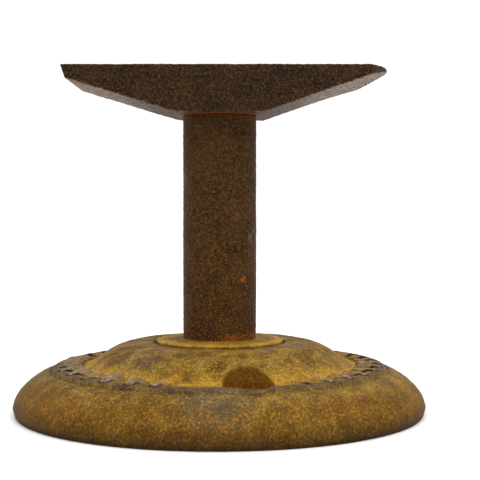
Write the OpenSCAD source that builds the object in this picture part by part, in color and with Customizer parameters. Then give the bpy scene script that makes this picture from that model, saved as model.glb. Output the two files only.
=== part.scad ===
// Small bench anvil on a round cast foot.
//
// A forged head with one square end and one rounded end sits on a turned
// post. The post stands on a collar in the crown of a hollow cast base and is
// pulled down by a washer and a thin nut inside the hollow.
//
// Origin: centre of the base's underside, on the axis of the post.
// +Z is up, +X points to the rounded end of the head. Millimetres.

/* [Base] */
// Diameter of the base
base_d = 139.7; // [116:0.1:170]
// Height of the widest line of the rim
rim_low_z = 3; // [2:0.5:5]
// How far the rim draws in again below its widest line
rim_tuck = 0.75; // [0:0.05:2]
// Width of the rim, from the groove inside it to its edge
rim_w = 12.65; // [10:0.05:16]
// Height of the rim's inner edge
rim_top_z = 14.7; // [14:0.1:16]
// Height of the groove between the rim and the ring
groove_z = 14.1; // [13:0.1:15]
// Distance from the groove in to the crest of the ring
ring_out = 3.7; // [2:0.1:5]
// Height of the ring's crest
ring_z = 16.3; // [15.5:0.1:18]
// Distance from the ring's crest in to the floor of the dish
ring_in = 3.5; // [2:0.1:5]
// Height of the floor of the dish
dish_z = 15.2; // [14:0.1:16]
// Height of the crown of the dome
dome_z = 23.8; // [21:0.1:30]
// Flat margin of the crown round the collar
crown_margin = 7.2; // [2:0.1:9]
// Thickness of the casting
wall = 5; // [4:0.1:6]
// Width of the edge that the base stands on
stand_w = 6; // [4:0.1:8]

/* [Hub under the crown] */
// Diameter of the hub
hub_d = 29; // [24:0.5:36]
// Height of the hub's lower face above the bench
hub_z = 15.5; // [15:0.1:18]

/* [Screw holes] */
// Distance from the ring's crest in to the circle of the screw holes
screw_in = 6.6; // [6:0.1:9]
// Number of screw holes
screw_count = 2; // [1:1:4]
// Direction of the first screw hole, from +X towards +Y
screw_az = 282; // [0:1:359]
// Diameter of each screw hole
screw_hole_d = 5.5; // [4:0.1:7]
// Diameter of the spot face round each screw hole
spot_d = 15.2; // [12:0.1:16]
// Height of the spot face
spot_z = 13.6; // [11:0.1:14.5]
// Wall of the boss round each spot face
boss_wall = 3.6; // [2:0.1:5]

/* [Collar] */
// Diameter of the collar
collar_d = 43.2; // [36:0.1:52]
// Thickness of the collar at the post
collar_t = 2.4; // [2:0.1:4]
// How much thinner the collar is at its edge
collar_taper = 0.5; // [0:0.1:0.8]
// Height that the collar stands above the crown, at the post
collar_proud = 1.2; // [1:0.1:1.8]
// Rounding of the collar's upper edge
collar_edge = 0.5; // [0.2:0.1:0.7]

/* [Post] */
// Diameter of the post
post_d = 24.9; // [20:0.1:30]
// Height of the post between the collar and the head
post_h = 75.6; // [60:0.1:92]
// Diameter of the tenon at the foot
foot_tenon_d = 16; // [13.3:0.1:19.2]
// How far the foot tenon stops short of the hub's lower face
tenon_short = 0.5; // [0.3:0.1:1]
// Diameter of the tenon in the head
head_tenon_d = 16; // [12:0.1:18]
// Height of the tenon in the head
head_tenon_h = 8; // [5:0.1:10]
// Chamfer on the ends of the tenons
tenon_chamfer = 0.8; // [0.4:0.1:1.2]

/* [Head] */
// Height of the head over the post
head_h = 15.4; // [13:0.1:20]
// Width of the head
head_w = 42; // [35:0.1:51]
// Reach of the square end from the axis of the post
square_reach = 51.3; // [42:0.1:62]
// Thickness of the square end
square_end_t = 4.7; // [3:0.1:6]
// How far the square end is undercut
square_undercut = 1.5; // [0:0.1:3]
// Reach of the rounded end from the axis of the post
round_reach = 56.7; // [46:0.1:69]
// Thickness of the rounded end
round_end_t = 1.1; // [0.5:0.1:3]
// Plan radius of the rounded end
round_end_r = 34; // [30:1:90]
// Plan radius of the corners of the rounded end
round_corner_r = 1.5; // [1:0.1:6]
// Reach of the flat under the head towards the square end
flat_square = 14.6; // [13:0.1:20]
// Reach of the flat under the head towards the rounded end
flat_round = 15.2; // [13:0.1:18]
// Rounding where the flat meets each slope
flat_blend = 2; // [1:0.5:6]

/* [Washer and nut] */
// Outer diameter of the thread
thread_d = 12.7; // [10:0.1:13.2]
// Pitch of the thread
thread_pitch = 1.95; // [1.5:0.05:2.5]
// Depth of the thread
thread_depth = 1; // [0.7:0.1:1.2]
// Length of the threaded end below the washer
thread_l = 10; // [9:0.1:12]
// Diameter of the washer
washer_d = 30; // [26:0.5:36]
// Thickness of the washer
washer_t = 2.5; // [2:0.1:3]
// Width of the nut across its flats
nut_af = 19; // [18:0.1:22]
// Height of the nut
nut_h = 8; // [7:0.1:8.5]

/* [Clearances] */
// Gap round the collar in its seat, on the radius
collar_gap = 0.35; // [0.2:0.05:0.6]
// Gap round a tenon in its hole, on the radius
tenon_gap = 0.1; // [0.05:0.05:0.3]
// Gap above the head tenon in its blind hole
tenon_end_gap = 0.6; // [0.3:0.1:1]
// Gap between the threads of the post and the nut, on the radius
thread_gap = 0.15; // [0.1:0.05:0.3]
// Gap round the thread in the washer, on the radius
washer_gap = 0.4; // [0.2:0.1:0.8]

/* [Hidden] */

$fn = 96;
eps = 0.01;                                  // overrun of a cut through a face
curve_steps = 12;                            // segments in one curved stretch

base_r = base_d / 2;
groove_r = base_r - rim_w;
ring_r = groove_r - ring_out;
dish_r = ring_r - ring_in;
screw_r = ring_r - screw_in;                 // circle that the screw holes lie on
seat_r = collar_d / 2 + collar_gap;          // recess that holds the collar
seat_z = dome_z + collar_proud - collar_t;
crown_r = collar_d / 2 + crown_margin;
post_z = seat_z + collar_t;                  // top of the collar
head_z = post_z + post_h;                    // underside of the head
top_z = head_z + head_h;                     // working face
tenon_z = hub_z + tenon_short;               // where the foot tenon turns to thread
washer_z = hub_z - washer_t;
nut_z = washer_z - nut_h;
thread_end_z = washer_z - thread_l;
ceiling_z = dome_z - wall;                   // underside of the crown
boss_r = spot_d / 2 + boss_wall;
groove_side = 0.9;                           // half width of the groove
rim_swell = [6, 1.6];                        // curve handle at the rim's inner edge
rim_drop = 4.8;                              // curve handle at the widest line
dome_shoulder = 0.45;                        // curve handles of the dome's side,
dome_cove = 0.33;                            // as shares of its width
haunch = [7, 3];                             // curve handles inside the rim
nut_chamfer_angle = 30;

// Points of a cubic curve from a to d with the handles b and c.
function curve(a, b, c, d, n = curve_steps) =
  [for (i = [0:n]) let (t = i / n, s = 1 - t)
    s * s * s * a + 3 * s * s * t * b + 3 * s * t * t * c + t * t * t * d];

// Points of a circle's arc about c, from angle a0 to a1.
function arc(c, r, a0, a1, n) =
  [for (i = [0:n]) let (a = a0 + (a1 - a0) * i / n) c + r * [cos(a), sin(a)]];

// Side of the dome, from the crown out to the dish, lowered by drop.
function dome_side(drop) =
  let (w = dish_r - crown_r, top = dome_z - drop, low = dish_z - drop)
  curve([crown_r, top], [crown_r + dome_shoulder * w, top],
        [dish_r - dome_cove * w, low], [dish_r, low]);

// Raised ring and the groove outside it.
function ring_side() =
  concat(
    curve([dish_r, dish_z], [dish_r + ring_in / 3, dish_z],
          [ring_r - ring_in / 3, ring_z], [ring_r, ring_z], 6),
    curve([ring_r, ring_z], [ring_r + ring_out / 2, ring_z],
          [groove_r - groove_side, groove_z], [groove_r, groove_z], 6));

// Rim, from the groove to the bench.
function rim_side() =
  concat(
    [[groove_r + groove_side, rim_top_z]],
    curve([groove_r + groove_side, rim_top_z], [groove_r + rim_swell.x, rim_top_z - rim_swell.y],
          [base_r, rim_low_z + rim_drop], [base_r, rim_low_z]),
    [[base_r - rim_tuck, 0]]);

// Outline of the casting above its hollow, closed along the bench.
function outer_side() =
  concat([[0, 0], [0, seat_z], [seat_r, seat_z], [seat_r, dome_z]],
         dome_side(0), ring_side(), rim_side());

// Outline of the hollow with no bosses in it.
function hollow_side() =
  let (foot_r = base_r - rim_tuck - stand_w, roof = groove_z - wall)
  concat([[0, -eps], [0, ceiling_z]],
         dome_side(wall),
         curve([groove_r, roof], [groove_r + haunch.y, roof], [foot_r, haunch.x], [foot_r, -eps]));

// Saw-tooth outline of a thread drawn as plain rings, from z0 up to z1.
function thread_side(r, z0, z1) =
  let (turns = floor((z1 - z0) / thread_pitch))
  concat([[0, z0]],
         [for (i = [0:turns - 1]) each [[r - thread_depth, z0 + i * thread_pitch],
                                       [r, z0 + (i + 0.5) * thread_pitch]]],
         [[r - thread_depth, z0 + turns * thread_pitch], [r - thread_depth, z1], [0, z1]]);

module turned(side) {
  rotate_extrude() polygon(side);
}

module at_screws() {
  for (i = [0:screw_count - 1])
    rotate([0, 0, screw_az + i * 360 / screw_count]) translate([screw_r, 0, 0]) children();
}

module base() {
  color("#8a6530")
  difference() {
    turned(outer_side());
    difference() {
      turned(hollow_side());
      translate([0, 0, hub_z]) cylinder(d = hub_d, h = ceiling_z);
      at_screws() translate([0, 0, -2 * eps]) cylinder(r = boss_r, h = ceiling_z);
    }
    translate([0, 0, hub_z - eps]) cylinder(d = foot_tenon_d + 2 * tenon_gap, h = dome_z);
    at_screws() {
      translate([0, 0, spot_z]) cylinder(d = spot_d, h = dome_z);
      translate([0, 0, -eps]) cylinder(d = screw_hole_d, h = dome_z);
    }
  }
}

module foot_collar() {
  edge_t = collar_t - collar_taper;
  color("#7d5c2c")
  translate([0, 0, seat_z])
    difference() {
      turned(concat(
        [[0, 0], [collar_d / 2 - collar_edge / 2, 0], [collar_d / 2, collar_edge / 2]],
        arc([collar_d / 2 - collar_edge, edge_t - collar_edge], collar_edge, 0, 90, 6),
        [[post_d / 2, collar_t], [0, collar_t]]));
      translate([0, 0, -eps]) cylinder(d = foot_tenon_d + 2 * tenon_gap, h = collar_t + 2 * eps);
    }
}

module post() {
  foot_r = foot_tenon_d / 2;
  head_r = head_tenon_d / 2;
  color("#4a2c1a") {
    turned([
      [0, tenon_z - eps], [foot_r - tenon_chamfer, tenon_z - eps], [foot_r, tenon_z + tenon_chamfer],
      [foot_r, post_z], [post_d / 2, post_z], [post_d / 2, head_z], [head_r, head_z],
      [head_r, head_z + head_tenon_h - tenon_chamfer],
      [head_r - tenon_chamfer, head_z + head_tenon_h], [0, head_z + head_tenon_h]]);
    turned(thread_side(thread_d / 2, thread_end_z, tenon_z));
  }
}

// Head seen from the side, as an outline in X and Z.
module head_elevation() {
  end_z = top_z - square_end_t;
  tip_z = top_z - round_end_t;
  square_slope = (end_z - head_z) / (square_reach - square_undercut - flat_square);
  round_slope = (tip_z - head_z) / (round_reach - flat_round);
  polygon(concat(
    [[-square_reach, top_z], [-square_reach + square_undercut, end_z]],
    curve([-flat_square - flat_blend, head_z + flat_blend * square_slope],
          [-flat_square, head_z], [-flat_square, head_z], [-flat_square + flat_blend, head_z], 6),
    [[flat_round, head_z], [round_reach, tip_z], [round_reach, top_z]]));
}

// Head seen from above, as an outline in X and Y.
module head_plan() {
  side_y = head_w / 2;
  corner_y = side_y - round_corner_r;
  end_x = round_reach - round_end_r;
  corner_x = end_x + sqrt(pow(round_end_r - round_corner_r, 2) - corner_y * corner_y);
  edge = atan2(corner_y, corner_x - end_x);
  polygon(concat(
    [[-square_reach, side_y], [-square_reach, -side_y]],
    arc([corner_x, -corner_y], round_corner_r, -90, -edge, 6),
    arc([end_x, 0], round_end_r, -edge, edge, 16),
    arc([corner_x, corner_y], round_corner_r, edge, 90, 6)));
}

module anvil_head() {
  color("#2f2118")
  difference() {
    intersection() {
      rotate([90, 0, 0]) linear_extrude(head_w + 2, center = true) head_elevation();
      translate([0, 0, head_z - 1]) linear_extrude(head_h + 2) head_plan();
    }
    translate([0, 0, head_z - eps])
      cylinder(d = head_tenon_d + 2 * tenon_gap, h = head_tenon_h + tenon_end_gap + eps);
  }
}

module clamp_washer() {
  color("#5b5048")
  translate([0, 0, washer_z])
    difference() {
      cylinder(d = washer_d, h = washer_t);
      translate([0, 0, -eps]) cylinder(d = thread_d + 2 * washer_gap, h = washer_t + 2 * eps);
    }
}

module clamp_nut() {
  nut_r = nut_af / sqrt(3);
  bevel_h = (nut_r - nut_af / 2) * tan(nut_chamfer_angle);
  color("#544940")
  difference() {
    intersection() {
      translate([0, 0, nut_z]) cylinder(r = nut_r, h = nut_h, $fn = 6);
      turned([[0, nut_z], [nut_af / 2, nut_z], [nut_r, nut_z + bevel_h],
              [nut_r, washer_z - bevel_h], [nut_af / 2, washer_z], [0, washer_z]]);
    }
    turned(thread_side(thread_d / 2 + thread_gap, thread_end_z - thread_pitch, washer_z + thread_pitch));
  }
}

base();
foot_collar();
post();
anvil_head();
clamp_washer();
clamp_nut();
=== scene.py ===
import math
import random

import bpy
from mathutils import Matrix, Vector


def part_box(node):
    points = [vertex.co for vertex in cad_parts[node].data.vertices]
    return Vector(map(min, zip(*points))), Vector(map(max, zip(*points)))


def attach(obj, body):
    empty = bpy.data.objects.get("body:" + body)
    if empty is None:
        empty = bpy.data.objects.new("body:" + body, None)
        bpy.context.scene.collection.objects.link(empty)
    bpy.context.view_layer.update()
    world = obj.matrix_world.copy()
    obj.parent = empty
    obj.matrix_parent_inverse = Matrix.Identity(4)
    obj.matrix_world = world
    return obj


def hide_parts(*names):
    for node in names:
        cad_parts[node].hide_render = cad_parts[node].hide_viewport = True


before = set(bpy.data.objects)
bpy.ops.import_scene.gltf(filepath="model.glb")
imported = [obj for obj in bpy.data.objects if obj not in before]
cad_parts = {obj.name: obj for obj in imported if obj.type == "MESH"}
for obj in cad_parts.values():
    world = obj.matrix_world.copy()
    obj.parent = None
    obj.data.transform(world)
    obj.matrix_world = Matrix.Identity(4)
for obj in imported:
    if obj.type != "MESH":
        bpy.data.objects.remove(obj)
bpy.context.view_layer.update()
print("frame loaded:", ", ".join(sorted(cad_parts)))

mm = 0.001
tiny = 0.01 * mm                         # merge distance
up = Vector((0, 0, 1))


# small helpers round the usual operators

def clearSelection():
    if bpy.context.object and bpy.context.object.mode != "OBJECT":
        bpy.ops.object.mode_set(mode="OBJECT")
    bpy.ops.object.select_all(action="DESELECT")


def pick(piece):
    clearSelection()
    piece.select_set(True)
    bpy.context.view_layer.objects.active = piece


def editing(piece, kind="VERT"):
    pick(piece)
    bpy.ops.object.mode_set(mode="EDIT")
    bpy.ops.mesh.select_mode(type=kind)
    bpy.ops.mesh.select_all(action="DESELECT")


def selectWhere(piece, test, kind="VERT"):
    # test gets a vertex's place, or the two ends of an edge
    editing(piece, kind)
    bpy.ops.object.mode_set(mode="OBJECT")
    mesh = piece.data
    if kind == "VERT":
        for v in mesh.vertices:
            v.select = test(v.co)
    else:
        for e in mesh.edges:
            e.select = test(*(mesh.vertices[i].co for i in e.vertices))
    bpy.ops.object.mode_set(mode="EDIT")


def modify(piece, kind, **settings):
    pick(piece)
    modifier = piece.modifiers.new(kind.title(), kind)
    for key, value in settings.items():
        setattr(modifier, key, value)
    bpy.ops.object.modifier_apply(modifier=modifier.name)


def carve(piece, tool, operation="DIFFERENCE"):
    modify(piece, "BOOLEAN", operation=operation, object=tool, solver="EXACT")
    bpy.data.objects.remove(tool)


def settle(piece, smoothAngle=40):
    # the place goes into the mesh, and edges flatter than the angle are shaded smooth
    pick(piece)
    bpy.ops.object.transform_apply(location=True, rotation=True, scale=True)
    bpy.ops.object.shade_smooth_by_angle(angle=math.radians(smoothAngle))


def tidyMesh(piece):
    # doubles are merged and the faces made to point outwards
    editing(piece)
    bpy.ops.mesh.select_all(action="SELECT")
    bpy.ops.mesh.remove_doubles(threshold=tiny)
    bpy.ops.mesh.normals_make_consistent(inside=False)
    bpy.ops.object.mode_set(mode="OBJECT")


def clamp(value):
    return min(1.0, max(0.0, value))


def reach(co):
    # distance from the post's axis in mm
    return math.hypot(co.x, co.y) / mm


def curve(a, b, c, d, steps):
    # points of a cubic curve from a to d, without its first point
    a, b, c, d = (Vector(p) for p in (a, b, c, d))
    points = []
    for i in range(1, steps + 1):
        t = i / steps
        s = 1 - t
        points.append(s ** 3 * a + 3 * s * s * t * b + 3 * s * t * t * c + t ** 3 * d)
    return points


def line(a, b, steps):
    # points of a straight line from a to b, without its first point
    a, b = Vector(a), Vector(b)
    return [a.lerp(b, i / steps) for i in range(1, steps + 1)]


def turned(name, outline, steps):
    # a vertex is drawn out along the outline (radius and height in mm), then spun round the axis
    clearSelection()
    bpy.ops.mesh.primitive_plane_add(size=mm, location=(0, 0, 0))
    piece = bpy.context.object
    piece.name = name
    bpy.ops.object.mode_set(mode="EDIT")
    bpy.ops.mesh.select_all(action="SELECT")
    bpy.ops.mesh.merge(type="CENTER")
    points = [Vector((p[0], 0, p[1])) * mm for p in outline]
    bpy.ops.transform.translate(value=points[0])
    for here, there in zip(points, points[1:]):
        bpy.ops.mesh.extrude_vertices_move(TRANSFORM_OT_translate={"value": there - here})
    bpy.ops.mesh.select_all(action="SELECT")
    bpy.ops.mesh.spin(steps=steps, angle=2 * math.pi, center=(0, 0, 0), axis=up)
    tidyMesh(piece)
    return piece


def peg(name, radius, low, high, steps=64, at=(0, 0)):
    # a plain upright cylinder, used as a cutter
    bpy.ops.mesh.primitive_cylinder_add(vertices=steps, radius=radius * mm, depth=(high - low) * mm,
                                        location=(at[0] * mm, at[1] * mm, (low + high) / 2 * mm))
    bpy.context.object.name = name
    return bpy.context.object


def ringThread(root, depth, start, pitch, turns):
    # outline of a thread drawn as plain rings, upwards from start
    points = []
    for i in range(turns):
        points.append(Vector((root, start + i * pitch)))
        points.append(Vector((root + depth, start + (i + 0.5) * pitch)))
    return points + [Vector((root, start + turns * pitch))]


def roughen(piece, size, depth, inward=False, group=""):
    # a cloud texture of this size moves the skin by this depth, both in mm; inward only eats into it
    clouds = bpy.data.textures.new(piece.name + "Clouds", "CLOUDS")
    clouds.noise_scale = size * mm
    clouds.noise_depth = 2
    modify(piece, "DISPLACE", texture=clouds, texture_coords="LOCAL", strength=depth * mm,
           mid_level=1.0 if inward else 0.5, vertex_group=group)


def lift(piece, name, height, weigh):
    # raises the skin by the height in mm times the weight, from 0 to 1, that weigh gives each vertex
    group = piece.vertex_groups.new(name=name)
    for v in piece.data.vertices:
        weight = weigh(v)
        if weight > 0.001:
            group.add([v.index], min(1.0, weight), "REPLACE")
    modify(piece, "DISPLACE", strength=height * mm, mid_level=0.0, direction="Z", vertex_group=name)


def paint(piece, name, weigh):
    # a number at each vertex, which the piece's material reads by its name
    values = piece.data.attributes.new(name, "FLOAT", "POINT")
    for v in piece.data.vertices:
        values.data[v.index].value = weigh(v)


# materials

class Value:
    # a shader socket that can be added, multiplied and so on in plain Python
    def __init__(self, coat, socket):
        self.coat = coat
        self.socket = socket

    def __add__(self, other):
        return self.coat.math("ADD", self, other)

    def __sub__(self, other):
        return self.coat.math("SUBTRACT", self, other)

    def __rsub__(self, other):
        return self.coat.math("SUBTRACT", other, self)

    def __mul__(self, other):
        return self.coat.math("MULTIPLY", self, other)

    def clamped(self):
        return self.coat.math("ADD", self, 0.0, clamp=True)

    __radd__ = __add__
    __rmul__ = __mul__


class Coat:
    # one material and the few moves that its recipe needs
    def __init__(self, name):
        self.material = bpy.data.materials.new(name)
        self.material.use_nodes = True
        self.tree = self.material.node_tree
        self.tree.nodes.clear()
        self.place = self.node("ShaderNodeTexCoord", out="Object")

    def plug(self, slot, item):
        if isinstance(item, Value):
            self.tree.links.new(item.socket, slot)
        elif item is not None:
            slot.default_value = item

    def node(self, kind, settings=None, sockets=None, out=0):
        # settings are set first, then the values or links of the sockets
        made = self.tree.nodes.new(kind)
        for key, value in (settings or {}).items():
            setattr(made, key, value)
        for key, value in (sockets or {}).items():
            self.plug(made.inputs[key], value)
        return Value(self, made.outputs[out])

    def math(self, operation, *items, clamp=False):
        return self.node("ShaderNodeMath", {"operation": operation, "use_clamp": clamp},
                         dict(enumerate(items)))

    def noise(self, size, detail=4, rough=0.55, stretch=(1, 1, 1), shift=0.0):
        # size is the width of one blotch in mm; a shift gives a second pattern of the same kind
        place = self.place
        if shift or stretch != (1, 1, 1):
            place = self.node("ShaderNodeMapping", sockets={
                "Vector": place, "Location": (shift, shift, 0), "Scale": stretch})
        return self.node("ShaderNodeTexNoise", sockets={
            "Vector": place, "Scale": 1 / (size * mm), "Detail": detail, "Roughness": rough})

    def step(self, value, low, high):
        # 0 below low, 1 above high, smooth between; low may be the larger
        return self.node("ShaderNodeMapRange", {"interpolation_type": "SMOOTHSTEP", "clamp": True}, {
            "Value": value, "From Min": low, "From Max": high})

    def band(self, value, low, high, soft):
        # 1 between low and high, and 0 outside them
        return self.step(value, low - soft, low + soft) * self.step(value, high + soft, high - soft)

    def blotch(self, centre, radius, solid=0.18):
        # a soft ball of paint round a place in mm, at its full strength in the solid share of its radius
        gap = self.node("ShaderNodeVectorMath", {"operation": "DISTANCE"}, {
            0: self.place, 1: Vector(centre) * mm}, out="Value")
        return self.step(gap, radius * mm, radius * solid * mm)

    def mix(self, amount, below, above, blend="MIX"):
        # a plain colour is a tuple of three, and gets its fourth number here
        below, above = ((*item, 1) if isinstance(item, tuple) else item for item in (below, above))
        return self.node("ShaderNodeMix", {"data_type": "RGBA", "blend_type": blend},
                         {0: amount, 6: below, 7: above}, out=2)

    def attribute(self, name):
        return self.node("ShaderNodeAttribute", {"attribute_name": name}, out="Fac")

    def axes(self):
        # the three object coordinates and the distance from the post's axis, in mm
        parts = self.node("ShaderNodeSeparateXYZ", sockets={"Vector": self.place})
        x, y, z = (Value(self, parts.socket.node.outputs[i]) * (1 / mm) for i in range(3))
        return x, y, z, self.math("SQRT", x * x + y * y)

    def bump(self, height, depth, below=None):
        # depth in mm is the relief of a height that runs from 0 to 1
        return self.node("ShaderNodeBump", sockets={
            "Height": height, "Distance": depth * mm, "Strength": 1.0, "Normal": below}, out="Normal")

    def finish(self, color, rough, normal, metallic=0.0, specular=0.5):
        shader = self.tree.nodes.new("ShaderNodeBsdfPrincipled")
        output = self.tree.nodes.new("ShaderNodeOutputMaterial")
        for key, item in (("Base Color", color), ("Roughness", rough), ("Normal", normal),
                          ("Metallic", metallic), ("Specular IOR Level", specular)):
            self.plug(shader.inputs[key], item)
        self.tree.links.new(shader.outputs[0], output.inputs[0])
        return self.material


def srgb(r, g, b):
    # a colour as a painter reads it, 0 to 255, to linear light
    def channel(c):
        c /= 255
        return c / 12.92 if c <= 0.04045 else ((c + 0.055) / 1.055) ** 2.4
    return tuple(channel(c) for c in (r, g, b))


ironLook = dict(
    ochre=srgb(134, 103, 42),
    mustard=srgb(176, 134, 44),
    brown=srgb(102, 74, 28),
    amber=srgb(108, 74, 16),
    umber=srgb(40, 28, 16),
    rust=srgb(146, 72, 16),
    slate=srgb(92, 92, 82),
    greyAndSheen=srgb(130, 112, 92),
    bead=srgb(92, 75, 56),
    green=srgb(96, 92, 44),
    dimple=srgb(126, 78, 15),
    pitShade=srgb(84, 50, 9),
    grain=0.45,                          # width of the finest grains, mm
    shine=0.03,
    # where each tint starts and ends in mm: R out from the post's axis, X to the side, Z in height
    dishR=(43, 54),
    seatR=(23.2, 22.4),
    beadR=(53.4, 56.4),
    beadZ=(13.8, 14.4),
    mossR=(57.0, 59.5),
    sideR=(59, 65),
    sideZ=(14, 9.5),
    lowZ=(9, 1),
    standShadeZ=(2.6, 0.3),
    flankShadeR=(49, 54),
    flankShadeX=(38, 46),
    collarR=(16, 21),
    collarZ=(23.7, 24.2),
    pitShadeZ=(16, 19.5),
    greySpots=(((-24, -28, 20), 12, 0.8), ((0, -60, 14), 17, 1.0)),    # place, radius and strength
    darkSpot=((-66, -12, 8), 26),
)


def castIronSkin(name, look, ornament):
    # ochre rust patina on cast iron: a fine sandy speckle over tints that follow the casting, with painted
    # shade low on the rim, at the foot, in the collar's seat, on the lobes' flanks and up the recesses'
    # walls, and a painted sheen on the lobes' backs; the base with its ornament and the plain collar share it
    coat = Coat(name)
    x, y, z, r = coat.axes()
    broad = coat.noise(26, 3)            # from broad clouds down to single grains of sand
    patch = coat.noise(6, 4, 0.6)
    speck = coat.noise(0.95, 3, 0.7)
    grit = coat.noise(0.85, 3, 0.7, shift=0.4)
    fine = coat.noise(look["grain"], 2, 0.7)
    wide = patch + (broad - 0.5) * 0.7
    color = coat.mix(coat.step(wide, 0.34, 0.68), look["brown"], look["ochre"])
    dish = coat.band(r, *look["dishR"], 4) * coat.step(wide, 0.15, 0.5)
    color = coat.mix(dish * 0.85, color, look["mustard"])
    side = coat.step(r, *look["sideR"])
    color = coat.mix(side * coat.step(z, *look["sideZ"]) * 0.75, color, look["amber"])
    color = coat.mix(coat.step(speck, 0.54, 0.66) * (0.32 - side * 0.12), color, look["mustard"])
    color = coat.mix(coat.step(grit, 0.56, 0.66) * (0.22 + side * 0.2), color, look["rust"])
    color = coat.mix(coat.step(grit, 0.44, 0.36) * 0.35, color, look["slate"])
    grey = sum(coat.blotch(place, radius) * strength for place, radius, strength in look["greySpots"])
    color = coat.mix((grey * coat.step(speck, 0.62, 0.42)).clamped() * 0.6, color, look["slate"])
    color = coat.mix(coat.blotch(*look["darkSpot"]) * 0.25, color, look["umber"])
    # painted shade: umber darkening low on the rim, and again at the foot where it stands on the bench
    for shadeHeights in (look["lowZ"], look["standShadeZ"]):
        color = coat.mix(coat.step(z, *shadeHeights) * 0.6, color, look["umber"])
    if ornament:
        # painted shade: umber in the seat round the foot of the collar, in the gap under its edge
        color = coat.mix(coat.step(r, *look["seatR"]) * 0.8, color, look["umber"])
        bead = coat.band(r, *look["beadR"], 0.7) * coat.step(z, *look["beadZ"])
        color = coat.mix(bead * 0.9, color, look["bead"])
        lobe = coat.attribute("relief")
        # painted shade: umber on the lower flanks of the lobes, darker towards the outer ring and the far
        # sides
        flankShade = coat.step(lobe, 0.04, 0.12) * coat.step(lobe, 0.6, 0.35)
        sideways = coat.step(coat.math("ABSOLUTE", x), *look["flankShadeX"])
        shade = coat.step(r, *look["flankShadeR"]) * 0.55 + sideways * 0.45 + 0.25
        color = coat.mix((flankShade * shade).clamped(), color, look["umber"])
        # the lobes' backs get their own purple-grey tint together with a painted sheen, lighter on their tops
        back = coat.step(lobe, 0.34, 0.62) * coat.step(speck, 0.3, 0.46)
        color = coat.mix(back * 0.9, color, look["greyAndSheen"])
        moss = coat.band(r, *look["mossR"], 0.8) * coat.step(patch, 0.35, 0.6)
        color = coat.mix(moss * 0.5, color, look["green"])
    else:
        topEdge = coat.step(r, *look["collarR"]) * coat.step(z, *look["collarZ"])
        color = coat.mix(topEdge * 0.7 + 0.15, color, look["mustard"])
    sandy = coat.step(speck * 0.5 + fine * 0.5, 0.35, 0.68)
    color = coat.mix(0.5, color, sandy, "OVERLAY")
    color = coat.mix(0.25, color, coat.step(grit * 0.5 + patch * 0.5, 0.34, 0.67), "OVERLAY")
    if ornament:
        pit = coat.attribute("recess")
        # the recess's own orange-brown, with painted shade darkening the upper part of its wall, and dark
        # grains
        inside = coat.mix(coat.step(z, *look["pitShadeZ"]) * 0.8 + 0.1, look["dimple"], look["pitShade"])
        inside = coat.mix(coat.step(grit, 0.5, 0.36) * 0.6, inside, look["pitShade"])
        inside = coat.mix(0.6, inside, sandy, "OVERLAY")
        color = coat.mix(coat.step(pit + (speck - 0.5) * 1.2, 0.45, 1.0), color, inside)
    relief = coat.bump(speck, 0.3)
    relief = coat.bump(fine, 0.16, relief)
    rough = 0.55 + (speck - 0.5) * 0.5 + (patch - 0.5) * 0.25
    return coat.finish(color, rough.clamped(), relief, specular=look["shine"])


postLook = dict(
    skin=srgb(62, 42, 21),
    dark=srgb(46, 31, 16),
    ruddy=srgb(92, 54, 16),
    orange=srgb(160, 84, 14),
    olive=srgb(84, 68, 32),
    slate=srgb(92, 90, 82),
    joint=srgb(90, 44, 10),
    shine=0.04,
    scuffs=(((-12, -4, 80), 6), ((11, -6, 60), 4)),    # place and radius of each scraped spot, mm
    fleck=((8, -9.5, 45.5), 1.8),
)


def postSkin(name, look, lowZ, highZ):
    # dark rust skin on turned steel, finely pitted, with warmer flecks towards the foot and painted shade at
    # the top under the head
    coat = Coat(name)
    x, y, z, r = coat.axes()
    patch = coat.noise(9, 4, 0.6)
    speck = coat.noise(0.9, 3, 0.7)
    grit = coat.noise(0.8, 3, 0.7, shift=0.4)
    fine = coat.noise(0.4, 2, 0.7)
    color = coat.mix(coat.step(patch, 0.36, 0.64), look["dark"], look["skin"])
    color = coat.mix(coat.step(speck, 0.48, 0.66) * 0.5, color, look["ruddy"])
    color = coat.mix(coat.step(grit, 0.48, 0.66) * 0.5, color, look["olive"])
    color = coat.mix(0.65, color, coat.step(speck * 0.4 + fine * 0.6, 0.34, 0.67), "OVERLAY")
    # painted shade: the post darkens over its top 30 mm, under the head
    color = coat.mix(coat.step(z, highZ - 30, highZ) * 0.25, color, look["dark"])
    warm = coat.step(z, lowZ + 45, lowZ) * 0.3 + coat.step(z, lowZ + 4, lowZ + 1) * 0.4 + 0.08
    color = coat.mix(warm * coat.step(fine, 0.54, 0.68), color, look["orange"])
    ends = coat.step(z, highZ - 1.2, highZ) + coat.step(z, lowZ + 0.7, lowZ + 0.1)
    color = coat.mix(ends.clamped() * 0.6, color, look["joint"])
    crumbs = coat.step(grit, 0.42, 0.56)
    foot = coat.step(z, lowZ + 2.6, lowZ + 1.2) * coat.step(x, -4, 3) * crumbs
    color = coat.mix(foot * 0.5, color, look["orange"])
    scuff = sum(coat.blotch(*spot) for spot in look["scuffs"])
    streaks = coat.step(coat.noise(1.2, 2, 0.5, stretch=(1, 1, 0.3)), 0.46, 0.6)
    color = coat.mix((scuff * streaks).clamped() * 0.8, color, look["slate"])
    color = coat.mix(coat.blotch(*look["fleck"]) * crumbs * 0.8, color, look["orange"])
    relief = coat.bump(speck, 0.26)
    relief = coat.bump(fine, 0.14, relief)
    rough = 0.55 + (speck - 0.5) * 0.4
    return coat.finish(color, rough.clamped(), relief, specular=look["shine"])


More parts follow.
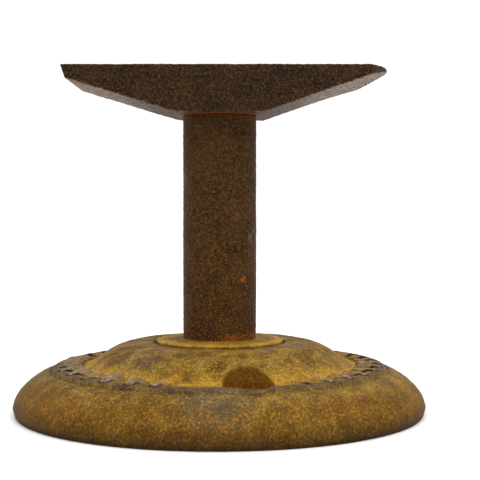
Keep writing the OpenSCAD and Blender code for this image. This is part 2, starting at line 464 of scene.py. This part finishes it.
headLook = dict(
    skin=srgb(49, 33, 19),
    dark=srgb(31, 22, 14),
    ruddy=srgb(82, 50, 18),
    olive=srgb(80, 62, 34),
    steel=srgb(128, 114, 92),
    underSheen=srgb(136, 118, 102),
    brightSheen=srgb(142, 128, 116),
    soil=srgb(66, 46, 30),
    joint=srgb(116, 62, 20),
    shine=0.04,
    # where each tint starts and ends in mm: X to the side, R out from the post's axis
    brownX=(16, -40),
    farX=(14, 40),
    brightSheenX=(10, 34),
    jointR=(18, 14),
)


def forgedSkin(name, look, lowZ, highZ):
    # black forge scale, coarsely pitted, with brown rust in the hollows; painted glints, a painted highlight
    # along the top edge, and a painted sheen in pale specks on the underside
    coat = Coat(name)
    x, y, z, r = coat.axes()
    patch = coat.noise(12, 4, 0.6)
    pits = coat.noise(1.1, 4, 0.65)
    speck = coat.noise(0.75, 3, 0.7)
    grit = coat.noise(0.8, 3, 0.7, shift=0.4)
    fine = coat.noise(0.42, 2, 0.7)
    color = coat.mix(coat.step(patch, 0.34, 0.66), look["dark"], look["skin"])
    brown = coat.step(x, *look["brownX"]) * 0.25 + coat.step(z, highZ - 6, lowZ) * 0.2
    color = coat.mix(coat.step(speck, 0.48, 0.64) * (0.3 + brown), color, look["ruddy"])
    color = coat.mix(coat.step(grit, 0.52, 0.64) * (0.45 - brown), color, look["olive"])
    # painted glints: sparse light steel-grey specks
    color = coat.mix(coat.step(fine, 0.6, 0.7) * 0.2, color, look["steel"])
    # painted highlight: a broken light line along the top edge
    topEdgeHighlight = coat.step(z, highZ - 0.7, highZ - 0.2) * coat.step(speck, 0.4, 0.58)
    color = coat.mix(topEdgeHighlight * 0.35, color, look["steel"])
    under = coat.attribute("under")
    far = coat.step(coat.math("ABSOLUTE", x), *look["farX"])
    color = coat.mix(under * (0.6 + far * 0.3), color, look["soil"])
    # painted sheen on the underside: pale specks through the grain, lighter still towards the right
    sheenSpecks = under * coat.step(speck, 0.56 - far * 0.16, 0.64 - far * 0.16)
    underSheen = coat.mix(coat.step(x, *look["brightSheenX"]), look["underSheen"], look["brightSheen"])
    color = coat.mix(sheenSpecks.clamped(), color, underSheen)
    color = coat.mix(0.8, color, coat.step(pits * 0.5 + fine * 0.5, 0.34, 0.67), "OVERLAY")
    color = coat.mix(under * coat.step(pits, 0.52, 0.42) * 0.65, color, look["soil"])
    ring = under * coat.step(r, *look["jointR"]) * coat.step(z, lowZ + 1.2, lowZ + 0.4)
    color = coat.mix(ring * coat.step(speck, 0.3, 0.5), color, look["joint"])
    relief = coat.bump(pits, 0.3)
    relief = coat.bump(speck, 0.16, relief)
    rough = 0.5 + (speck - 0.5) * 0.4
    return coat.finish(color, rough.clamped(), relief, specular=look["shine"])


steelLook = dict(steel=srgb(84, 74, 64), dark=srgb(44, 36, 30), rust=srgb(112, 66, 32))


def fixingSkin(name, look):
    # dull oxidised steel for the washer and the nut
    coat = Coat(name)
    patch = coat.noise(4, 4, 0.6)
    speck = coat.noise(0.7, 3, 0.65)
    color = coat.mix(coat.step(patch, 0.4, 0.6), look["dark"], look["steel"])
    color = coat.mix(coat.step(speck, 0.52, 0.68) * 0.6, color, look["rust"])
    relief = coat.bump(speck, 0.05)
    rough = 0.45 + (patch - 0.5) * 0.4
    return coat.finish(color, rough.clamped(), relief, metallic=0.6)


def dress(piece, material, slot, *nodes):
    # the piece gets its material and takes the place of its CAD nodes
    piece.data.materials.clear()
    piece.data.materials.append(material)
    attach(piece, "root")
    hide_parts(*nodes)


# the cast base

casting = dict(
    steps=720,                           # segments round the outer skin
    hollowSteps=180,
    clearance=0.02,                      # how far the rim stays inside its CAD solid
    standWidth=6.0,                      # the ring that stands on the bench
    rimLow=3.0,                          # the rim is widest from here
    rimBelly=4.8,                        # and stays full for about this height
    tuck=0.75,                           # how far the foot is set in under the rim
    rimWidth=12.65,
    rimTop=14.7,
    grooveZ=14.1,
    ringOut=3.7,                         # outer and inner slope of the raised ring
    ringZ=16.3,
    ringIn=3.5,
    dishZ=15.2,
    dishEase=0.33,                       # the dome's slope is one curve, and its two handles take
    crownEase=0.45,                      # these shares of the way
    crownR=28.8,
    seatR=21.95,
    seatZ=22.6,
    wall=5.0,
    hubR=14.5,
    hubZ=15.5,
    boreR=8.1,
    screwR=46.9,
    screwAngle=282.0,
    screwCount=2,
    spotR=7.6,
    spotZ=13.6,
    screwHoleR=2.75,
    bossR=11.2,
    softLip=1.9,                         # the lip of a recess is rounded this wide towards the dome
    crispLip=0.7,                        # and this wide towards the ring
    floorEdge=0.9,                       # but not this close to its floor
    softStainAndShade=2.0,                       # how far a recess's stain and painted shade run out over the dome
    crispStainAndShade=0.5,                      # and over the ring
    dip=0.7,                             # the ring is worn down this far before the front recess,
    dipR=54.8,                           # most at this radius
    dipWidth=5.0,
    grain=0.22,                          # depth of the sand cast skin
    grainSizes=(1.5, 13),                # width of its grains and of its slow waves
)

lobes = dict(
    count=38,
    first=308.0,                         # direction of one lobe, degrees from +X
    outerR=56.2,
    innerR=46.4,
    footZ=15.0,
    topZ=18.0,                           # height of a lobe's back over its inner half
    halfWidth=2.6,
    taper=0.32,                          # share of the width lost at the outer end
    fullness=0.7,                        # under 1 for a fuller cross-section than a plain cosine
    outerEnd=0.2,                        # share of the length that slopes off
    innerEnd=0.22,                       # share of the length that is rounded off
    backRise=0.5,                        # share of the length over which the back rises
    drift=3.4,                           # degrees that the lobes at the sides are set back
    slim=0.75,                           # the lobes on the right are lower and narrower
    wornAngle=276.0,                     # they are worn away round this direction,
    wornHalf=14.0,                       # up to these degrees from it
    wornFade=18.0,                       # and whole again after these
    backLoss=0.55,                       # share of the height lost behind the post
    backFade=0.35,
    jitter=0.8,                          # random turn in degrees, and spread of height and width
    heightSpread=(0.85, 1.05),
    widthSpread=(0.85, 1.15),
)


def turnBetween(a, b):
    # the smaller turn between two directions in degrees
    return abs((a - b + 180) % 360 - 180)


def outerOutline(c, radius, crownZ):
    # rim, groove, ring and dome from the bench up; the bare offsets round off where two of them meet
    grooveR = radius - c["rimWidth"]
    ringR = grooveR - c["ringOut"]
    dishR = ringR - c["ringIn"]
    side = dishR - c["crownR"]
    footR = radius - c["tuck"]
    points = [Vector(p) for p in ((0, 0), (footR - 1.2, 0), (footR - 0.25, 0.12), (footR + 0.1, 0.6))]
    points += line(points[-1], (radius, c["rimLow"]), 3)
    points += curve(points[-1], (radius, c["rimLow"] + c["rimBelly"]),
                    (grooveR + 6.0, c["rimTop"] - 1.6), (grooveR + 0.9, c["rimTop"]), 26)
    points += curve(points[-1], (grooveR + 0.5, c["rimTop"] + 0.1), (grooveR + 0.3, c["grooveZ"]),
                    (grooveR, c["grooveZ"]), 4)
    points += curve(points[-1], (grooveR - 0.5, c["grooveZ"]), (grooveR - 0.6, c["ringZ"] - 0.5),
                    (grooveR - 1.2, c["ringZ"] - 0.25), 6)
    points += curve(points[-1], (grooveR - 2.2, c["ringZ"] + 0.1), (ringR, c["ringZ"]),
                    (ringR - 0.8, c["ringZ"] - 0.15), 6)
    points += curve(points[-1], (ringR - 1.8, c["ringZ"] - 0.4), (dishR + 1.0, c["dishZ"]),
                    (dishR, c["dishZ"]), 6)
    points += curve(points[-1], (dishR - c["dishEase"] * side, c["dishZ"]),
                    (c["crownR"] + c["crownEase"] * side, crownZ), (c["crownR"], crownZ), 40)
    points += line(points[-1], (c["seatR"] + 0.7, crownZ), 6)
    points += curve(points[-1], (c["seatR"] + 0.2, crownZ), (c["seatR"], crownZ - 0.2),
                    (c["seatR"], crownZ - 0.7), 4)
    return points + [Vector((c["seatR"], c["seatZ"])), Vector((0, c["seatZ"]))]


def hollowOutline(c, radius, crownZ):
    # the same casting one wall further in, and on down past the bench for a clean cut
    grooveR = radius - c["rimWidth"]
    dishR = grooveR - c["ringOut"] - c["ringIn"]
    side = dishR - c["crownR"]
    footR = radius - c["tuck"] - c["standWidth"]
    roof = c["grooveZ"] - c["wall"]
    low, top = c["dishZ"] - c["wall"], crownZ - c["wall"]
    points = [Vector((0, -2)), Vector((footR, -2)), Vector((footR, 0))]
    points += curve((footR, 0), (footR, 7), (grooveR + 3, roof), (grooveR, roof), 10)
    points += line(points[-1], (dishR, low), 2)
    points += curve(points[-1], (dishR - c["dishEase"] * side, low),
                    (c["crownR"] + c["crownEase"] * side, top), (c["crownR"], top), 14)
    return points + [Vector((0, top))]


def screwPlaces(c):
    # the axes of the screw holes, evenly round the dome
    for i in range(c["screwCount"]):
        a = math.radians(c["screwAngle"] + 360 / c["screwCount"] * i)
        yield c["screwR"] * math.cos(a), c["screwR"] * math.sin(a)


def lobeRow(l):
    # direction, height and width of each lobe: nearly gone at the front, low at the back
    chance = random.Random(7)
    row = []
    for i in range(l["count"]):
        angle = (l["first"] + 360 / l["count"] * i) % 360
        toBack = math.sin(math.radians(angle))
        toRight = math.cos(math.radians(angle))
        height = clamp((turnBetween(angle, l["wornAngle"]) - l["wornHalf"]) / l["wornFade"])
        height *= 1 - l["backLoss"] * clamp(toBack / l["backFade"])
        slim = l["slim"] if toRight > 0 else 1.0
        angle += l["drift"] * toRight + chance.uniform(-l["jitter"], l["jitter"])
        height *= slim * chance.uniform(*l["heightSpread"])
        row.append((angle, height, slim * chance.uniform(*l["widthSpread"])))
    return row


def alongLobe(l, co):
    # 0 at the outer end of the lobes and 1 at the inner end
    return (l["outerR"] - reach(co)) / (l["outerR"] - l["innerR"])


def lobeAt(l, row, co):
    # how much of a lobe, 0 to 1, stands at a place on the ring
    along = alongLobe(l, co)
    if not 0 < along < 1:
        return 0.0
    angle = math.degrees(math.atan2(co.y, co.x))
    inner = max(0.0, (along - 1) / l["innerEnd"] + 1)
    ends = min(1.0, along / l["outerEnd"]) * math.sqrt(1 - inner ** 2)
    best = 0.0
    for middle, height, width in row:
        across = math.radians(turnBetween(angle, middle)) * reach(co)
        half = l["halfWidth"] * width * (1 - l["taper"] * (1 - along))
        if across < half:
            best = max(best, math.cos(math.pi / 2 * across / half) ** l["fullness"] * ends * height)
    return best


def lobeBack(l, co):
    # height in mm of a lobe's back over the plain casting at this place
    rise = math.sin(math.pi / 2 * clamp(alongLobe(l, co) / l["backRise"]))
    return max(0.0, l["footZ"] + (l["topZ"] - l["footZ"]) * rise - co.z / mm)


def dipAt(c, co):
    # the ring is worn low in front of the first recess
    a = math.radians(c["screwAngle"])
    gap = math.hypot(co.x / mm - c["dipR"] * math.cos(a), co.y / mm - c["dipR"] * math.sin(a))
    return math.exp(-(gap / c["dipWidth"]) ** 2)


def nearestRecess(c, co):
    # distance in mm to the axis of the nearer recess
    return min(math.hypot(co.x / mm - x, co.y / mm - y) for x, y in screwPlaces(c))


def softenLips(piece, c):
    # the lip of a recess is rounded off towards the dome, and its edge at the ring stays crisp
    lowest = (c["spotZ"] + c["floorEdge"]) * mm

    def onLip(co):
        soft = c["softLip"] if reach(co) < c["screwR"] + 2 else c["crispLip"]
        return abs(nearestRecess(c, co) - c["spotR"]) < soft and co.z > lowest

    selectWhere(piece, onLip)
    bpy.ops.mesh.vertices_smooth(factor=0.5, repeat=8)
    bpy.ops.object.mode_set(mode="OBJECT")


def stainAndShadeAt(c, co):
    # 1 inside a recess, fading out past its lip: where its stain and painted shade go
    if co.z < (c["spotZ"] - 0.5) * mm:
        return 0.0
    spill = c["softStainAndShade"] if reach(co) < c["screwR"] + 3 else c["crispStainAndShade"]
    return clamp((c["spotR"] + spill - nearestRecess(c, co)) / spill)


def makeBase(c, l):
    low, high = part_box("base")
    radius, crownZ = high.x / mm - c["clearance"], high.z / mm
    piece = turned("cast_base", outerOutline(c, radius, crownZ), c["steps"])
    row = lobeRow(l)
    tallest = l["topZ"] - c["dishZ"]
    onTop = c["grooveZ"] * mm
    lift(piece, "lobes", tallest, lambda v: lobeAt(l, row, v.co) * lobeBack(l, v.co) / tallest
         if v.co.z > onTop else 0)
    lift(piece, "dip", -c["dip"], lambda v: dipAt(c, v.co) if v.co.z > onTop else 0)
    print("ornament raised")
    hollow = turned("hollow", hollowOutline(c, radius, crownZ), c["hollowSteps"])
    carve(hollow, peg("hub", c["hubR"], c["hubZ"], crownZ, 96))
    for place in screwPlaces(c):
        carve(hollow, peg("boss", c["bossR"], -3, crownZ, at=place))
    carve(piece, hollow)
    carve(piece, peg("bore", c["boreR"], c["hubZ"] - 1, crownZ))
    for place in screwPlaces(c):
        carve(piece, peg("spot", c["spotR"], c["spotZ"], crownZ + 2, at=place))
        carve(piece, peg("screwHole", c["screwHoleR"], -1, crownZ, 32, place))
    print("casting hollowed and drilled")
    softenLips(piece, c)
    tidyMesh(piece)
    outside = [v.index for v in piece.data.vertices
               if v.normal.z > 0.02 and reach(v.co) > c["seatR"] + 0.3]
    piece.vertex_groups.new(name="skin").add(outside, 1.0, "REPLACE")
    for size in c["grainSizes"]:
        roughen(piece, size, c["grain"], inward=True, group="skin")
    paint(piece, "relief", lambda v: lobeAt(l, row, v.co) if v.co.z > onTop else 0.0)
    paint(piece, "recess", lambda v: stainAndShadeAt(c, v.co))
    settle(piece)
    return piece


base = makeBase(casting, lobes)
dress(base, castIronSkin("castIron", ironLook, True), "cast_base", "base")
print("base done:", len(base.data.polygons), "faces")


# the collar round the foot of the post

collarRing = dict(
    radius=21.6,
    boreR=8.1,
    postR=12.45,
    taper=0.5,                           # fall of the top from the post to the edge
    edge=0.6,                            # rounding of the upper edge
    chamfer=0.3,                         # and of the lower one
    skin=1.2,                            # the rough skin reaches this far down
    grain=0.3,
    grainSize=1.4,
    steps=540,
)


def makeCollar(c):
    low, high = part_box("foot_collar")
    bottom, top = low.z / mm, high.z / mm
    r, e = c["radius"], c["edge"]
    rimZ = top - c["taper"]
    outline = [Vector(p) for p in (
        (c["boreR"], bottom), (r - c["chamfer"], bottom), (r, bottom + c["chamfer"]))]
    outline += line(outline[-1], (r, rimZ - e), 2)
    outline += curve((r, rimZ - e), (r, rimZ - e * 0.4), (r - e * 0.4, rimZ), (r - e, rimZ), 5)
    outline += line(outline[-1], (c["postR"], top), 16)
    outline += line(outline[-1], (c["boreR"], top), 4)
    outline += line(outline[-1], (c["boreR"], bottom), 2)
    piece = turned("foot_collar_ring", outline, c["steps"])
    group = piece.vertex_groups.new(name="skin")
    group.add([v.index for v in piece.data.vertices if v.co.z / mm > top - c["skin"]], 1.0, "REPLACE")
    roughen(piece, c["grainSize"], c["grain"], group="skin")
    settle(piece)
    return piece


collar = makeCollar(collarRing)
dress(collar, castIronSkin("collarIron", ironLook, False), "collar_iron", "foot_collar")
print("collar done")


# the post

shaft = dict(
    radius=12.45,
    footR=8.0,                           # the two tenons
    headR=8.0,
    chamfer=0.8,
    footZ=25.0,                          # the post shows from here
    headZ=100.6,                         # to here
    footEdge=0.08,
    headEdge=0.3,
    tenonZ=16.0,                         # the thread ends here
    threadR=6.35,
    depth=1.0,
    pitch=1.95,
    rows=150,
    steps=192,
    skin=0.45,                           # depth of what counts as the rusty skin
    waves=(14, 0.2),                     # width and depth of the slow waves and of the pits
    pits=(1.2, 0.3),
)


def makePost(c):
    low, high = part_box("post")
    bottom, top = low.z / mm, high.z / mm
    turns = int((c["tenonZ"] - bottom) / c["pitch"])
    root = c["threadR"] - c["depth"]
    outline = [Vector((0, bottom))]
    outline += ringThread(root, c["depth"], bottom, c["pitch"], turns)
    outline += [Vector(p) for p in (
        (root, c["tenonZ"]), (c["footR"] - c["chamfer"], c["tenonZ"]),
        (c["footR"], c["tenonZ"] + c["chamfer"]), (c["footR"], c["footZ"]),
        (c["radius"] - c["footEdge"], c["footZ"]), (c["radius"], c["footZ"] + c["footEdge"]))]
    outline += line(outline[-1], (c["radius"], c["headZ"] - c["headEdge"]), c["rows"])
    outline += [Vector(p) for p in (
        (c["radius"] - c["headEdge"], c["headZ"]), (c["headR"], c["headZ"]), (c["headR"], top - c["chamfer"]),
        (c["headR"] - c["chamfer"], top), (0, top))]
    piece = turned("turned_post", outline, c["steps"])
    group = piece.vertex_groups.new(name="skin")
    shown = [v.index for v in piece.data.vertices
             if c["footZ"] + 0.1 < v.co.z / mm < c["headZ"] - 0.1 and reach(v.co) > c["radius"] - c["skin"]]
    group.add(shown, 1.0, "REPLACE")
    roughen(piece, *c["waves"], group="skin")
    roughen(piece, *c["pits"], group="skin")
    settle(piece)
    return piece


post = makePost(shaft)
dress(post, postSkin("postRust", postLook, shaft["footZ"], shaft["headZ"]), "post_steel", "post")
print("post done")


# the head

forging = dict(
    squareUndercut=1.5,                  # the square end leans in by this
    squareEnd=4.7,                       # over this height
    roundEnd=1.1,                        # height of the rounded end's thin edge
    flatSquare=14.6,                     # the underside is flat as far as this towards each end
    flatRound=15.2,
    blend=2.0,                           # rounding of its corner on the square side
    blendSteps=4,
    endR=34.0,                           # the rounded end is cut off in flats that follow this radius
    endSteps=10,                         # in each direction from its middle
    cornerR=1.5,
    cornerSteps=4,
    socketR=8.1,
    socketDepth=8.6,
    voxel=0.4,
    trim=0.2,                            # taken off the top before the scale is raised
    grain=0.34,                          # depth of the pitted scale
    grainSize=1.3,
    waveSize=10,
    waveShare=0.6,                       # depth of the slow waves over that of the scale
    sag=0.6,                             # the far lower edge hangs a little near the rounded end
    sagX=49.0,
    sagReach=8.0,
)


def cutAway(piece, place, normal):
    # everything on the side that the normal points to is cut off and the cut is filled
    editing(piece)
    bpy.ops.mesh.select_all(action="SELECT")
    bpy.ops.mesh.bisect(plane_co=Vector(place) * mm, plane_no=Vector(normal).normalized(),
                        use_fill=True, clear_outer=True)
    bpy.ops.object.mode_set(mode="OBJECT")


def makeHead(c):
    low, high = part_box("anvil_head")
    clearSelection()
    bpy.ops.mesh.primitive_cube_add(size=1, location=(low + high) / 2)
    piece = bpy.context.object
    piece.name = "forged_head"
    piece.scale = high - low
    bpy.ops.object.transform_apply(location=True, rotation=True, scale=True)
    left, right = low.x / mm, high.x / mm
    bottom, top = low.z / mm, high.z / mm
    side = high.y / mm
    endX = left + c["squareUndercut"]
    endZ = top - c["squareEnd"]
    tipZ = top - c["roundEnd"]
    cutAway(piece, (left, 0, top), (-c["squareEnd"], 0, -c["squareUndercut"]))
    cutAway(piece, (-c["flatSquare"], 0, bottom), (-(endZ - bottom), 0, endX + c["flatSquare"]))
    cutAway(piece, (c["flatRound"], 0, bottom), (tipZ - bottom, 0, -(right - c["flatRound"])))
    middle = right - c["endR"]
    cornerY = side - c["cornerR"]
    cornerX = middle + math.sqrt((c["endR"] - c["cornerR"]) ** 2 - cornerY ** 2)
    edge = math.atan2(cornerY, cornerX - middle)
    for i in range(-c["endSteps"], c["endSteps"] + 1):
        a = edge * i / c["endSteps"]
        cutAway(piece, (middle + c["endR"] * math.cos(a), c["endR"] * math.sin(a), top),
                (math.cos(a), math.sin(a), 0))
    for mirror in (1, -1):
        for i in range(1, c["cornerSteps"]):
            a = edge + (math.pi / 2 - edge) * i / c["cornerSteps"]
            x = cornerX + c["cornerR"] * math.cos(a)
            y = cornerY + c["cornerR"] * math.sin(a)
            cutAway(piece, (x, mirror * y, top), (math.cos(a), mirror * math.sin(a), 0))

    def underCorner(a, b):
        level = abs(a.z - low.z) < tiny and abs(b.z - low.z) < tiny
        return level and abs(a.x - b.x) < tiny and a.x < 0

    selectWhere(piece, underCorner, "EDGE")
    bpy.ops.mesh.bevel(offset=c["blend"] * mm, segments=c["blendSteps"], affect="EDGES")
    bpy.ops.object.mode_set(mode="OBJECT")
    carve(piece, peg("socket", c["socketR"], bottom - 1, bottom + c["socketDepth"]))
    modify(piece, "REMESH", mode="VOXEL", voxel_size=c["voxel"] * mm)
    editing(piece)
    bpy.ops.mesh.select_all(action="SELECT")
    bpy.ops.mesh.vertices_smooth(factor=0.5, repeat=1)
    bpy.ops.object.mode_set(mode="OBJECT")

    def sagAt(v):
        if v.normal.z > -0.3:
            return 0
        return math.exp(-((v.co.x / mm - c["sagX"]) / c["sagReach"]) ** 2) * max(0.0, v.co.y / high.y) ** 2

    lift(piece, "sag", -c["sag"], sagAt)
    lift(piece, "trim", -c["trim"], lambda v: 1 if v.co.z > high.z - 0.3 * mm else 0)
    roughen(piece, c["grainSize"], c["grain"])
    roughen(piece, c["waveSize"], c["grain"] * c["waveShare"])
    paint(piece, "under", lambda v: clamp(-v.normal.z * 2 - 0.8))
    settle(piece, 60)
    return piece


head = makeHead(forging)
headLow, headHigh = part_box("anvil_head")
dress(head, forgedSkin("forgeScale", headLook, headLow.z / mm, headHigh.z / mm), "head_steel", "anvil_head")
print("head done:", len(head.data.polygons), "faces")


# washer and nut under the hub

washer = dict(holeR=6.75, edge=0.35, steps=96)
nut = dict(acrossFlats=19.0, chamfer=0.85, threadGap=0.15, turns=8)


def makeWasher(c):
    low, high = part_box("clamp_washer")
    r, bottom, top, e = high.x / mm, low.z / mm, high.z / mm, c["edge"]
    outline = [Vector(p) for p in (
        (c["holeR"], bottom), (r - e, bottom), (r, bottom + e), (r, top - e), (r - e, top),
        (c["holeR"], top), (c["holeR"], bottom))]
    piece = turned("clamp_washer_disc", outline, c["steps"])
    settle(piece)
    return piece


def makeNut(c, s):
    low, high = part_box("clamp_nut")
    bottom, top = low.z / mm, high.z / mm
    corner = c["acrossFlats"] / math.sqrt(3)
    clearSelection()
    bpy.ops.mesh.primitive_cylinder_add(vertices=6, radius=corner * mm, depth=high.z - low.z,
                                        location=(0, 0, (low.z + high.z) / 2),
                                        rotation=(0, 0, math.radians(30)))
    piece = bpy.context.object
    piece.name = "clamp_nut_hex"
    bpy.ops.object.transform_apply(location=True, rotation=True, scale=True)
    flat = c["acrossFlats"] / 2
    cone = turned("cone", [Vector(p) for p in (
        (0, bottom), (flat, bottom), (corner, bottom + c["chamfer"]), (corner, top - c["chamfer"]),
        (flat, top), (0, top))], 96)
    carve(piece, cone, "INTERSECT")
    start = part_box("post")[0].z / mm - s["pitch"]    # the tap starts one ring below the shaft
    root = s["threadR"] - s["depth"] + c["threadGap"]
    rings = ringThread(root, s["depth"], start, s["pitch"], c["turns"])
    outline = [Vector((0, start)), *rings, Vector((0, rings[-1].y))]
    carve(piece, turned("tap", outline, 64))
    tidyMesh(piece)
    settle(piece, 30)
    return piece


fixingSteel = fixingSkin("dullSteel", steelLook)
dress(makeWasher(washer), fixingSteel, "fixing_steel", "clamp_washer")
dress(makeNut(nut, shaft), fixingSteel, "fixing_steel", "clamp_nut")
print("washer and nut done")


# floor, light and camera

studio = dict(
    floorSize=6.0,
    paper=((0.93, 0.93, 0.93), (0.95, 0.95, 0.95)),
    sky=1.08,
    keyPower=7.0,
    keySize=1.2,
    keyPlace=(0.15, -0.25, 1.0),
)
lens = dict(
    place=(6.94, -393.4, 68.8),          # all in mm, and the tilt down in degrees
    tilt=1.524,
    focal=86.25,
    sensor=36,
)


def makeStudio(s, l):
    bpy.ops.mesh.primitive_plane_add(size=s["floorSize"], location=(0, 0, 0))
    floor = bpy.context.object
    floor.name = "studio_floor"
    coat = Coat("floorPaper")
    coat.finish(coat.mix(coat.noise(3, 3), *s["paper"]), 0.9, None)
    floor.data.materials.append(coat.material)
    world = bpy.data.worlds.new("whiteRoom")
    world.use_nodes = True
    world.node_tree.nodes["Background"].inputs["Color"].default_value = (1, 1, 1, 1)
    world.node_tree.nodes["Background"].inputs["Strength"].default_value = s["sky"]
    bpy.context.scene.world = world
    bpy.ops.object.light_add(type="AREA", location=s["keyPlace"])
    key = bpy.context.object
    key.data.energy = s["keyPower"]
    key.data.size = s["keySize"]
    key.rotation_euler = Vector(s["keyPlace"]).to_track_quat("Z", "Y").to_euler()
    bpy.ops.object.camera_add(location=Vector(l["place"]) * mm,
                              rotation=(math.radians(90 - l["tilt"]), 0, 0))
    camera = bpy.context.object
    camera.data.lens = l["focal"]
    camera.data.sensor_width = l["sensor"]
    camera.data.clip_start = 0.01
    bpy.context.scene.camera = camera
    bpy.context.scene.view_settings.view_transform = "Standard"


makeStudio(studio, lens)
print("studio ready")
